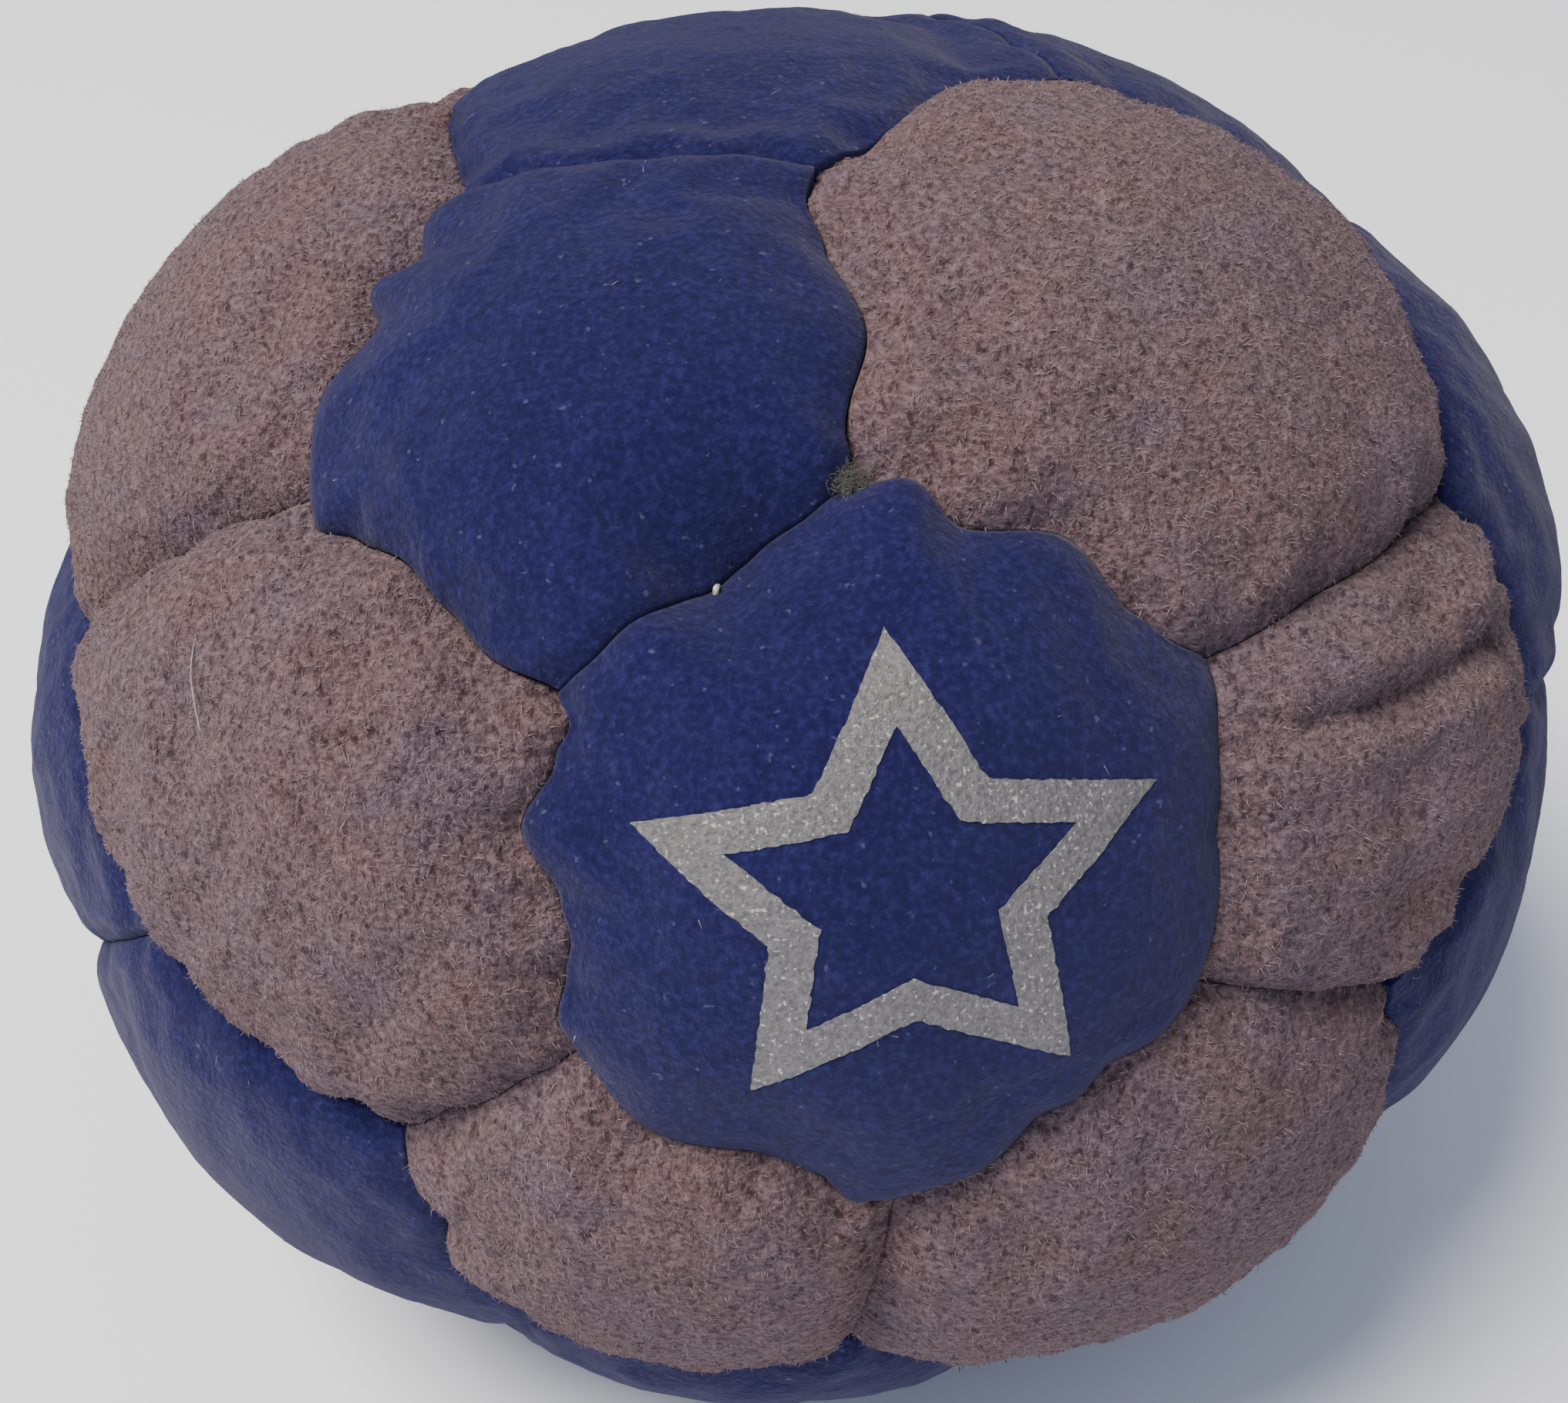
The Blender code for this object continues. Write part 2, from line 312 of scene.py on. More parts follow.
def read_net():
    """The net's corners, each panel's ring of corners, and each panel's name in the CAD."""
    bm = make_net()
    corners = np.array([v.co[:] for v in bm.verts])
    faces = [[v.index for v in f.verts] for f in bm.faces]
    heights = [f.calc_center_median().z for f in bm.faces]
    bm.free()
    names, counts = {}, {}
    for number in sorted(range(len(faces)), key=lambda n: -heights[n]):
        colour = {"b": "blue", "g": "grey"}[PANEL_COLOURS[number]]
        kind = f"{colour}_{'hexagon' if len(faces[number]) == 6 else 'pentagon'}"
        counts[kind] = counts.get(kind, 0) + 1
        names[number] = f"{kind}_{counts[kind]:02d}"
    return corners, faces, names


CORNERS, FACES, NAMES = read_net()


def make_seams():
    """Every seam by its two corners, the lower number first."""
    owners = {}
    for number, ring in enumerate(FACES):
        for a, b in zip(ring, ring[1:] + ring[:1]):
            owners.setdefault((min(a, b), max(a, b)), []).append((number, a < b))
    seams = {}
    for key, sides in owners.items():
        # The arc's normal points into the panel that runs it forwards.
        inside = next(n for n, forward in sides if forward)
        outside = next(n for n, forward in sides if not forward)
        pair = PANEL_COLOURS[inside] + PANEL_COLOURS[outside]
        bold = {"gb": -1.0, "bg": 1.0}.get(pair, 0.35)
        seams[key] = Seam(key, CORNERS, bold)
        if pair in ("gg", "bb"):
            seams[key].pull *= 0.6
        if pair == "bb":
            seams[key].raised = BLUE_SEAM_RAISED
        if pair == "gg":
            seams[key].depth += GREY_SEAM_DEPTH
        if {inside, outside} == {PRINTED_PANEL, CLOSED_PANEL}:
            seams[key].depth = CLOSED_SEAM_DEPTH
            seams[key].slack = CLOSED_SEAM_SLACK
    return seams


SEAMS = make_seams()


# ---------------------------------------------------------------- how a panel is made
def fold_lift(number, start):
    """What the panel's folds and the pits at its corners add to its swell."""
    lift = np.zeros(len(start))
    for panel, begin, stop, depth, width, roll in FOLDS:
        if panel != number:
            continue
        ends = [unit(sum(CORNERS[c] * share for c, share in end.items())) for end in (begin, stop)]
        axis = ends[1] - ends[0]
        length = np.linalg.norm(axis)
        axis = axis / length
        side = np.cross(unit(ends[0] + ends[1]), axis)
        from_start = start - ends[0]
        along = np.clip(from_start @ axis / length, -0.5, 1.5)
        across = (from_start @ side) * RADIUS + 0.5 * np.sin(2.4 * along)
        fade = np.exp(-(((along - 0.45) / 0.52) ** 4))
        lift -= depth * fade * hump(across, width)
        lift += roll * fade * hump(np.abs(across) - 2.2 * width, width)
    for corner, (depth, width) in PITS.items():
        if corner in FACES[number]:
            gap = np.linalg.norm(start - CORNERS[corner], axis=1) * RADIUS
            lift -= depth * hump(gap, width)
    return lift


def seam_relief(number, start):
    """What its seams do to a panel at these directions: a product of shares that grows
    from 0 on the seams towards the middle, the shift sideways, the dip, and how near the
    next seam is."""
    ring = FACES[number]
    middle = unit(CORNERS[ring].mean(0))
    relief = EDGE_RELIEF[PANEL_COLOURS[number]]
    product = np.ones(len(start))
    shift = np.zeros_like(start)
    dip = np.zeros(len(start))
    near = np.full(len(start), np.inf)
    for a, b in zip(ring, ring[1:] + ring[:1]):
        seam = SEAMS[(min(a, b), max(a, b))]
        inward = seam.normal if a < b else -seam.normal
        away = np.arcsin(np.clip(start @ inward, -1, 1)) * RADIUS
        deep = math.asin(middle @ inward) * RADIUS
        away = np.clip(away, 0, None)
        product *= away / deep
        near = np.minimum(near, away)
        along = seam.along(start)
        wander = seam.wander(along)
        shift += seam.normal * (wander * np.exp(-away / 1.6))[:, None]
        # Between stitches the edge that bulges over its neighbour is also fuller.
        over = wander if a > b else -wander
        dip += 0.40 * relief * over * np.exp(-away / 1.2) * np.clip(away / 0.25, 0, 1)
        dip += seam.raised * hump(away, 1.5)
        # The groove has a narrow bottom and soft banks, and each stitch pulls on both.
        groove = seam.groove(along)
        dip -= groove * np.exp(-((away / 0.55) ** 1.3))
        dip -= 0.45 * groove * hump(away, 1.6)
        dip -= 0.30 * seam.valley(along) * hump(away, 2.2)
        dip -= 0.18 * relief * seam.tug(along, 0.50) * np.exp(-away / 0.8)
        dip -= 0.08 * relief * seam.tug(along, 0.70) * np.exp(-away / 2.4)
        if PANEL_COLOURS[number] == "g":
            ribs = np.sin(2 * np.pi * along * seam.length / RIB_SPACING + 2.5 * noise(start * 14, 5))
            dip += RIB_RELIEF * ribs * np.exp(-away / 1.6) * np.clip(away / 0.3, 0, 1)
    return product, shift, dip, near


def skin_relief(number, start, near):
    """The suede's own unevenness: soft dents, folds, and the relief of its nap."""
    spots = start * RADIUS
    skin = np.clip(near / 0.5, 0, 1)
    nap, curl = NAP_RELIEF[PANEL_COLOURS[number]]
    lift = 0.16 * noise(spots / 5.5, 7) * np.clip(near / 3, 0, 1)
    lift += 0.05 * noise(spots / 1.9, 8) * skin
    lift += fold_lift(number, start)
    lift += (nap * noise(spots / NAP_GRAIN, 9) + curl * noise(spots / CURL_GRAIN, 10)) * skin
    return lift


def surface(number, directions, rim=0.0, under=0.0, wrinkle=0.0, fine=True):
    """One panel's outer surface, in metres. rim is how far down its turned-in edge a point
    is, under how far inside its skin, and wrinkle how far the simulated cloth stands off
    the plain swell."""
    start = unit(directions)
    product, shift, dip, near = seam_relief(number, start)
    most = HEXAGON_SWELL if len(FACES[number]) == 6 else PENTAGON_SWELL
    most += SWELL_CHANGE.get(number, 0.0)
    lift = most * product**SHOULDER + dip
    lift += wrinkle * np.clip(near / 0.25, 0, 1)
    if fine:
        lift += skin_relief(number, start, near)
    # The turned-in edge starts from the skin's edge, however deep the sewing draws that.
    lift = np.where(rim > 0, np.minimum(-rim, lift - rim), lift - under)
    return settled(unit(start + shift / RADIUS), lift)


def flat_panel(number):
    """One panel still flat on the net, in triangles as coarse as the simulation takes."""
    bm = bmesh.new()
    corners = CORNERS[FACES[number]]
    middle = corners.mean(0)
    share = 1 - GAP / 2 / EDGE_REACH
    bm.faces.new([bm.verts.new(middle + (c - middle) * share) for c in corners])
    bmesh.ops.poke(bm, faces=bm.faces[:])
    bmesh.ops.subdivide_edges(bm, edges=bm.edges[:], cuts=COARSE - 1, use_grid_fill=True)
    bm.verts.index_update()
    return bm


def add_rim(bm, middle):
    """Turns the panel's edge in, down the seam, and closes the back of the suede."""
    skin = len(bm.faces)
    rim_layer = bm.verts.layers.float.new("rim")
    under_layer = bm.verts.layers.float.new("under")
    rim = [edge for edge in bm.edges if edge.is_boundary]
    inner = 1 - SUEDE / TURNED_REACH
    # Each step: the share from the middle, how far down the edge and how far inside.
    steps = [(1.0, 0.75, 0.0), (1.0, 1.3, 0.0), (1.0, TURNED_EDGE, 0.0), (inner, TURNED_EDGE, 0.0)]
    steps += [(share, 0.0, SUEDE) for share in (inner, 0.83, 0.74, 0.6, 0.4, 0.2, 0.05)]
    reach = 1.0
    for share, low, below in steps:
        turned = bmesh.ops.extrude_edge_only(bm, edges=rim)["geom"]
        rim = [item for item in turned if isinstance(item, bmesh.types.BMEdge) and item.is_boundary]
        for vert in {vert for edge in rim for vert in edge.verts}:
            vert.co = middle + (vert.co - middle) * (share / reach)
            vert[rim_layer] = low
            vert[under_layer] = below
        reach = share
    bmesh.ops.edgeloop_fill(bm, edges=rim)
    number_faces(bm, skin)


def number_faces(bm, skin):
    """Numbers the faces that follow the skin's by their points. Extruding makes them in an
    order that changes from run to run, and the nap is drawn by face."""
    bm.verts.index_update()
    bm.faces.index_update()
    count = len(bm.verts)

    def place(face):
        if face.index < skin:
            return face.index
        points = sorted(vert.index for vert in face.verts)
        return skin + (points[-1] * count + points[-2]) * count + points[0]

    bm.faces.sort(key=place)


def simulate(flats):
    """Blows the slack panels up from inside with their edges held, all in one cloth, and
    returns how far each of their points then stands off the plain swell."""
    points, faces, held, spans = [], [], [], []
    for number, bm in enumerate(flats):
        base = sum(len(p) for p in points)
        directions = np.array([v.co[:] for v in bm.verts])
        points.append(surface(number, directions, fine=False))
        faces += [[base + v.index for v in f.verts] for f in bm.faces]
        held += [base + v.index for v in bm.verts if v.is_boundary]
        spans.append((base, base + len(directions)))
    start = np.concatenate(points)
    mesh = bpy.data.meshes.new("cloth")
    mesh.from_pydata((start * SIM_SCALE).tolist(), [], faces)
    obj = bpy.data.objects.new("cloth", mesh)
    bpy.context.scene.collection.objects.link(obj)
    obj.vertex_groups.new(name="held").add(held, 1.0, "REPLACE")
    cloth = obj.modifiers.new("cloth", "CLOTH").settings
    cloth.quality = 6
    cloth.mass = 0.02
    cloth.vertex_group_mass = "held"
    cloth.shrink_min = -SLACK
    cloth.tension_stiffness = 30
    cloth.compression_stiffness = 30
    cloth.shear_stiffness = 10
    cloth.bending_stiffness = 0.08
    cloth.air_damping = 2.0
    cloth.use_pressure = True
    cloth.uniform_pressure_force = 8.0
    cloth.effector_weights.gravity = 0.0
    scene = bpy.context.scene
    for frame_number in range(1, SIM_FRAMES + 1):
        scene.frame_set(frame_number)
    shaped = obj.evaluated_get(bpy.context.evaluated_depsgraph_get())
    moved = np.empty(len(start) * 3, np.float32)
    shaped.data.vertices.foreach_get("co", moved)
    scene.frame_set(1)
    bpy.data.objects.remove(obj)
    bpy.data.meshes.remove(mesh)
    outward = unit(start / MM - np.array([0, 0, CENTRE]))
    off = ((moved.reshape(-1, 3) / SIM_SCALE - start) / MM * outward).sum(1)
    return [off[low:high] for low, high in spans]


def build_panel(number, bm, off, look):
    """One finished panel from its flat mesh and what the simulation gave for its points."""
    pairs = np.array([[v.index for v in edge.verts] for edge in bm.edges])
    off = WRINKLE_GAIN[PANEL_COLOURS[number]] * (off - smoothed(off, pairs, 40))
    off = np.clip(off, -WRINKLE_CAP, WRINKLE_CAP)
    layer = bm.verts.layers.float.new("off")
    for vert, value in zip(bm.verts, off):
        vert[layer] = value
    bmesh.ops.subdivide_edges(bm, edges=bm.edges[:], cuts=FINE - 1, use_grid_fill=True)
    add_rim(bm, Vector(CORNERS[FACES[number]].mean(0)))
    bmesh.ops.recalc_face_normals(bm, faces=bm.faces[:])
    mesh = bpy.data.meshes.new(NAMES[number] + "_panel")
    bm.to_mesh(mesh)
    bm.free()
    count = len(mesh.vertices)
    flat = np.empty(count * 3, np.float32)
    mesh.vertices.foreach_get("co", flat)
    values = {}
    for name in ("rim", "under", "off"):
        values[name] = np.empty(count, np.float32)
        mesh.attributes[name].data.foreach_get("value", values[name])
        mesh.attributes.remove(mesh.attributes[name])
    edges = np.empty(len(mesh.edges) * 2, np.int32)
    mesh.edges.foreach_get("vertices", edges)
    pairs = np.unique(np.sort(edges.reshape(-1, 2)), axis=0)
    wrinkle = smoothed(values["off"], pairs, 6)
    directions = flat.reshape(-1, 3).astype(float)
    points = surface(number, directions, values["rim"], values["under"], wrinkle)
    mesh.vertices.foreach_set("co", points.astype(np.float32).ravel())
    mesh.update()
    if Vector(CORNERS[FACES[number]].mean(0)).dot(mesh.polygons[0].normal) < 0:
        mesh.flip_normals()
    mesh.shade_smooth()
    return add_object(NAMES[number] + "_panel", mesh, look)


def smoothed(values, edges, rounds):
    """The values after each point has taken the mean of its neighbours a few times."""
    degree = np.bincount(edges.ravel(), minlength=len(values))
    for _ in range(rounds):
        total = np.bincount(edges[:, 0], values[edges[:, 1]], len(values))
        total += np.bincount(edges[:, 1], values[edges[:, 0]], len(values))
        values = 0.5 * values + 0.5 * total / degree
    return values


# ---------------------------------------------------------------- materials
class Nodes:
    """A short way to write one material's nodes."""

    def __init__(self, name):
        self.material = bpy.data.materials.new(name)
        self.material.use_nodes = True
        self.tree = self.material.node_tree
        self.surface = self.tree.nodes["Principled BSDF"]
        self.coords = self.add("ShaderNodeTexCoord").outputs["Object"]

    def add(self, kind, inputs=(), **settings):
        node = self.tree.nodes.new(kind)
        for name, value in settings.items():
            setattr(node, name, value)
        for name, value in dict(inputs).items():
            self.put(node.inputs[name], value)
        return node

    def put(self, socket, value):
        if isinstance(value, bpy.types.NodeSocket):
            self.tree.links.new(value, socket)
        else:
            socket.default_value = value

    def noise(self, grain, detail=3.0, rough=0.55, squash=(1, 1, 1), turn=(0, 0, 0)):
        """Noise whose grain is about this many mm."""
        mapping = self.add(
            "ShaderNodeMapping",
            {"Vector": self.coords, "Scale": [s / (grain * MM) for s in squash], "Rotation": turn},
        )
        made = self.add(
            "ShaderNodeTexNoise",
            {"Vector": mapping.outputs[0], "Scale": 1.0, "Detail": detail, "Roughness": rough},
        )
        return made.outputs["Fac"]

    def math(self, operation, *values):
        node = self.add("ShaderNodeMath", operation=operation)
        for socket, value in zip(node.inputs, values):
            self.put(socket, value)
        return node.outputs[0]

    def ramp(self, factor, stops):
        node = self.add("ShaderNodeValToRGB", {"Fac": factor})
        elements = node.color_ramp.elements
        while len(elements) < len(stops):
            elements.new(0.5)
        for element, (place, colour) in zip(elements, stops):
            element.position = place
            element.color = (*colour, 1.0)
        return node.outputs["Color"]

    def mix(self, factor, a, b, blend="MIX"):
        node = self.add("ShaderNodeMix", data_type="RGBA", blend_type=blend)
        self.put(node.inputs[0], factor)
        self.put(node.inputs[6], a)
        self.put(node.inputs[7], b)
        return node.outputs[2]

    def bump(self, height, distance, strength):
        inputs = {"Height": height, "Distance": distance * MM, "Strength": strength}
        return self.add("ShaderNodeBump", inputs).outputs[0]

    def finish(self, **inputs):
        for name, value in inputs.items():
            self.put(self.surface.inputs[name.replace("_", " ")], value)
        return self.material


def grey_suede():
    """Mauve grey with a long curled nap, warm and cool patches, and painted shade in the dents of
    its nap.
    """
    n = Nodes("grey_suede_fine")
    patches = n.noise(3.4, 3.0)
    nap = n.noise(0.26, 4.0, 0.66, squash=(1.0, 1.0, 1.8), turn=(0.5, 0.3, 0.4))
    nap_dents = n.noise(0.33, 3.0, 0.60, squash=(1.6, 1.0, 1.0), turn=(0.2, 0.7, 0.9))
    # The tone is partly the suede's own mottling and partly painted shade: it is darkest where the
    # nap, which also drives the bump, lies lowest.
    tone = n.ramp(
        nap,
        [
            (0.32, (0.048, 0.030, 0.033)),
            (0.50, (0.100, 0.066, 0.072)),
            (0.68, (0.170, 0.120, 0.126)),
        ],
    )
    # Painted shade: these dark flecks fall in the dents that the same noise makes in the bump below.
    painted_dent_shade = n.ramp(nap_dents, [(0.36, (0.42, 0.35, 0.38)), (0.46, (1.0, 1.0, 1.0))])
    cast = n.ramp(patches, [(0.35, (1.05, 0.96, 0.90)), (0.65, (0.94, 0.97, 1.10))])
    colour = n.mix(1.0, tone, painted_dent_shade, "MULTIPLY")
    colour = n.mix(1.0, colour, cast, "MULTIPLY")
    height = n.math("ADD", nap, n.math("MULTIPLY", nap_dents, 1.3))
    return n.finish(
        Base_Color=colour,
        Roughness=1.0,
        Sheen_Weight=0.12,
        Sheen_Roughness=0.6,
        Sheen_Tint=(0.80, 0.66, 0.70, 1.0),
        Specular_IOR_Level=0.08,
        Normal=n.bump(height, 0.22, 0.9),
    )


def blue_suede():
    """Navy blue with a short matt nap and a dust of pale lint."""
    n = Nodes("blue_suede_fine")
    patches = n.noise(3.6, 3.0)
    nap = n.noise(0.22, 4.0, 0.62)
    soft = n.noise(0.8, 3.0, 0.55)
    tone = n.ramp(
        nap,
        [
            (0.32, (0.0023, 0.0026, 0.031)),
            (0.50, (0.0046, 0.0050, 0.045)),
            (0.68, (0.0122, 0.0120, 0.073)),
        ],
    )
    cast = n.ramp(patches, [(0.35, (0.90, 0.90, 0.94)), (0.65, (1.12, 1.08, 1.05))])
    colour = n.mix(1.0, tone, cast, "MULTIPLY")
    lint = n.ramp(n.noise(0.26, 1.0, 0.4), [(0.72, (0.0, 0.0, 0.0)), (0.78, (1.0, 1.0, 1.0))])
    colour = n.mix(n.math("MULTIPLY", lint, 0.35), colour, (0.085, 0.095, 0.17, 1.0))
    height = n.math("ADD", nap, soft)
    return n.finish(
        Base_Color=colour,
        Roughness=0.95,
        Sheen_Weight=0.095,
        Sheen_Roughness=0.6,
        Sheen_Tint=(0.90, 0.84, 0.90, 1.0),
        Specular_IOR_Level=0.08,
        Normal=n.bump(height, 0.12, 0.7),
    )


def plain(name, colour, grain, roughness):
    """One colour that varies by 40 percent either way over this grain."""
    n = Nodes(name)
    spread = n.noise(grain, 3.0)
    low = tuple(0.6 * c for c in colour)
    high = tuple(min(1.0, 1.4 * c) for c in colour)
    return n.finish(
        Base_Color=n.ramp(spread, [(0.3, low), (0.7, high)]),
        Roughness=roughness,
        Normal=n.bump(spread, 0.1, 0.6),
    )


def silver_ink():
    """Dull silver ink with a sparkle of brighter specks."""
    n = Nodes("silver_ink_fine")
    grain = n.noise(0.16, 3.0, 0.6)
    glint = n.ramp(n.noise(0.12, 1.0, 0.4), [(0.64, (0.0, 0.0, 0.0)), (0.72, (1.0, 1.0, 1.0))])
    tone = n.ramp(grain, [(0.30, (0.066, 0.062, 0.066)), (0.65, (0.140, 0.133, 0.135))])
    return n.finish(
        Base_Color=n.mix(n.math("MULTIPLY", glint, 0.5), tone, (0.55, 0.52, 0.50, 1.0)),
        Roughness=0.6,
        Metallic=0.15,
        Normal=n.bump(grain, 0.12, 0.8),
    )


# ---------------------------------------------------------------- the 32 panels
LOOKS = {"b": blue_suede(), "g": grey_suede()}

flats = [flat_panel(number) for number in range(len(FACES))]
stands_off = simulate(flats)
panels = {}
for number, colour in enumerate(PANEL_COLOURS):
    panel = build_panel(number, flats[number], stands_off[number], LOOKS[colour])
    panels[number] = panel
    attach(panel, "root")
    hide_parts(NAMES[number])


# ---------------------------------------------------------------- fibres
def add_curve(name, paths, radius, look):
    """Round strands along paths given in metres."""
    curve = bpy.data.curves.new(name, "CURVE")
    curve.dimensions = "3D"
    curve.bevel_depth = radius * MM
    curve.bevel_resolution = 2
    curve.use_fill_caps = True
    for path in paths:
        line = curve.splines.new("POLY")
        line.points.add(len(path) - 1)
        for point, place in zip(line.points, path):
            point.co = (*place, 1.0)
    return add_object(name, curve, look)


def fibre_mesh(name, root, up, lay, long, wide, steep, look):
    """Short bent fibres as narrow strips: from its root each one rises along up, by steep
    of its length, as it runs along its lay."""
    side = np.cross(lay, up) * wide / 2
    bend = root + (up * steep + lay * 0.6) * long * 0.5
    tip = bend + (up * steep * 0.3 + lay) * long * 0.5
    points = np.stack([root - side, root + side, bend + side, bend - side, tip], 1)
    points = points.reshape(-1, 3) * MM
    points[:, 2] = np.maximum(points[:, 2], 0)
    start = 5 * np.arange(len(root))[:, None]
    quads = start + np.array([[0, 1, 2, 3]])
    tips = start + np.array([[3, 2, 4]])
    mesh = bpy.data.meshes.new(name)
    mesh.from_pydata(points.tolist(), [], quads.tolist() + tips.tolist())
    obj = add_object(name, mesh, look)
    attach(obj, "root")
    return obj


def add_nap(name, panel, look, per_mm2, reach, width, rise, seed):
    """Fibres all over one panel's skin, but not under the ball where it rests."""
    rng = np.random.default_rng(seed)
    mesh = panel.data
    count = len(mesh.polygons)
    centre, normal = np.empty(count * 3, np.float32), np.empty(count * 3, np.float32)
    area = np.empty(count, np.float32)
    mesh.polygons.foreach_get("center", centre)
    mesh.polygons.foreach_get("normal", normal)
    mesh.polygons.foreach_get("area", area)
    centre, normal = centre.reshape(-1, 3) / MM, normal.reshape(-1, 3)
    outward = unit(centre - np.array([0, 0, CENTRE]))
    chance = area * np.clip((outward * normal).sum(1) - 0.1, 0, 1)
    chance[centre[:, 2] < 0.4] = 0
    number = int(per_mm2 * chance.sum() / MM**2)
    picked = rng.choice(count, number, p=chance / chance.sum())
    up = normal[picked]
    spread = rng.normal(size=(number, 3)) * np.sqrt(area[picked]).reshape(-1, 1) / MM * 0.4
    root = centre[picked] + spread - up * ((spread * up).sum(1)[:, None] + 0.03)
    lay = rng.normal(size=(number, 3)) + np.array([0.4, 0.2, -0.5])
    lay = unit(lay - up * (lay * up).sum(1)[:, None])
    long = reach * rng.uniform(0.4, 1.3, (number, 1))
    wide = width * rng.uniform(0.6, 1.3, (number, 1))
    steep = rise * rng.uniform(0.2, 1.6, (number, 1))
    return fibre_mesh(name, root, up, lay, long, wide, steep, look)


# For each colour the nap's look, fibres to the square mm, length, width and rise, and the
# same for the lint on both.
NAPS = {
    "g": (plain("grey_nap_fine", (0.140, 0.096, 0.103), 0.35, 0.9), 46.0, 0.33, 0.028, 0.40),
    "b": (plain("blue_nap_fine", (0.0064, 0.0067, 0.052), 0.5, 0.9), 16.0, 0.15, 0.022, 0.40),
}
LINT = plain("lint_fine", (0.20, 0.19, 0.22), 0.6, 0.9)
LINT_NAP = (LINT, 0.05, 0.45, 0.022, 0.25)
for number, panel in panels.items():
    colour = PANEL_COLOURS[number]
    nap = add_nap(NAMES[number] + "_nap", panel, *NAPS[colour], 200 + number)
    lint = add_nap(NAMES[number] + "_lint", panel, *LINT_NAP, 300 + number)


def add_tuft():
    """The frayed ends that stand in the pit at the top corner of the printed panel."""
    rng = np.random.default_rng(5)
    spread = rng.normal(size=(TUFT_FIBRES, 3)) * TUFT_SPREAD
    root = settled(CORNERS[TUFT_CORNER] + spread / RADIUS, -0.50) / MM
    up = unit(root - np.array([0, 0, CENTRE]))
    lay = rng.normal(size=(TUFT_FIBRES, 3))
    lay = unit(lay - up * (lay * up).sum(1)[:, None])
    long = rng.uniform(0.15, 0.42, (TUFT_FIBRES, 1))
    look = plain("frayed_fine", (0.060, 0.058, 0.050), 0.4, 0.9)
    return fibre_mesh("frayed_tuft", root, up, lay, long, 0.017, 0.7, look)


add_tuft()


def add_hair():
    """One long pale hair caught in the nap of the grey hexagon beside the print."""
    middle = unit(sum(CORNERS[corner] * share for corner, share in HAIR_PLACE.items()))
    right = unit(np.cross([0.0, 0.0, 1.0], middle))
    up = np.cross(middle, right)
    along = np.linspace(-HAIR_REACH, HAIR_REACH, 13)[:, None]
    bend = 0.15 * along**2 - 0.75 * along
    directions = middle * RADIUS + up * along + right * bend
    skin = surface(HAIR_PANEL, directions)
    outward = unit(skin - np.array([0, 0, CENTRE * MM]))
    hair = add_curve("caught_hair", [skin + outward * 0.10 * MM], 0.024, LINT)
    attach(hair, "root")
    return hair


add_hair()


# ---------------------------------------------------------------- the print
def star_ring(inset):
    """The star's ten corners, drawn in by this much from its edge."""
    turns = np.pi / STAR_POINTS * np.arange(2 * STAR_POINTS)
    radii = np.where(np.arange(2 * STAR_POINTS) % 2, STAR_WAIST, 1.0) * STAR_RADIUS
    ring = np.stack([np.sin(turns), np.cos(turns)], 1) * radii[:, None]
    side = unit(np.roll(ring, -1, 0) - ring)
    inward = np.stack([side[:, 1], -side[:, 0]], 1)
    before = np.roll(inward, 1, 0)
    mitre = unit(inward + before)
    return ring + mitre * (inset / (mitre * inward).sum(1))[:, None]


def add_print(panel, look):
    """The star's outline in a skin of ink that follows the printed panel's nap."""
    outward = unit(CORNERS[FACES[PRINTED_PANEL]].mean(0))
    right = unit(np.cross([0.0, 0.0, 1.0], outward))
    up = np.cross(outward, right)
    outer, inner = star_ring(0.0), star_ring(STAR_BAND)
    rows = int(STAR_BAND / INK_GRAIN)
    columns = int(np.linalg.norm(outer[1] - outer[0]) / INK_GRAIN)
    share = np.linspace(0, 1, columns, endpoint=False)[:, None]
    edges = []
    for ring in (outer, inner):
        sides = [a + (b - a) * share for a, b in zip(ring, np.roll(ring, -1, 0))]
        edges.append(np.concatenate(sides))
    depth = np.linspace(0, 1, rows + 1)[:, None, None]
    flat = edges[0] * (1 - depth) + edges[1] * depth
    # The ink creeps along the nap, so the print's edges aren't quite straight.
    ragged = 0.06 * noise(flat.reshape(-1, 2)[:, [0, 1, 0]] / 0.20, 31)
    ragged = ragged.reshape(rows + 1, -1) * (2 * depth[:, :, 0] - 1) ** 2
    flat = flat + unit(edges[1] - edges[0]) * ragged[:, :, None]
    around = flat.shape[1]
    flat = flat.reshape(-1, 2)
    skin = bmesh.new()
    skin.from_mesh(panel.data)
    tree = BVHTree.FromBMesh(skin)
    skin.free()
    middle = Vector((0.0, 0.0, CENTRE * MM))
    directions = outward * RADIUS + flat[:, :1] * right + flat[:, 1:] * up
    directions = unit(directions * np.array([1, 1, SETTLE]))
    points = []
    for direction in directions:
        way = Vector(direction)
        hit, _, _, _ = tree.ray_cast(middle + way * 2 * RADIUS * MM, -way)
        points.append(hit + way * INK_LIFT * MM)
    index = np.arange((rows + 1) * around).reshape(rows + 1, around)
    after = np.roll(index, -1, 1)
    faces = np.stack([index[:-1], index[1:], after[1:], after[:-1]], 2).reshape(-1, 4)
    mesh = bpy.data.meshes.new("star_print")
    mesh.from_pydata(points, [], faces.tolist())
    mesh.shade_smooth()
    return add_object("star_print", mesh, look)


ink = add_print(panels[PRINTED_PANEL], silver_ink())
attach(ink, "root")
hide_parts("printed_star")


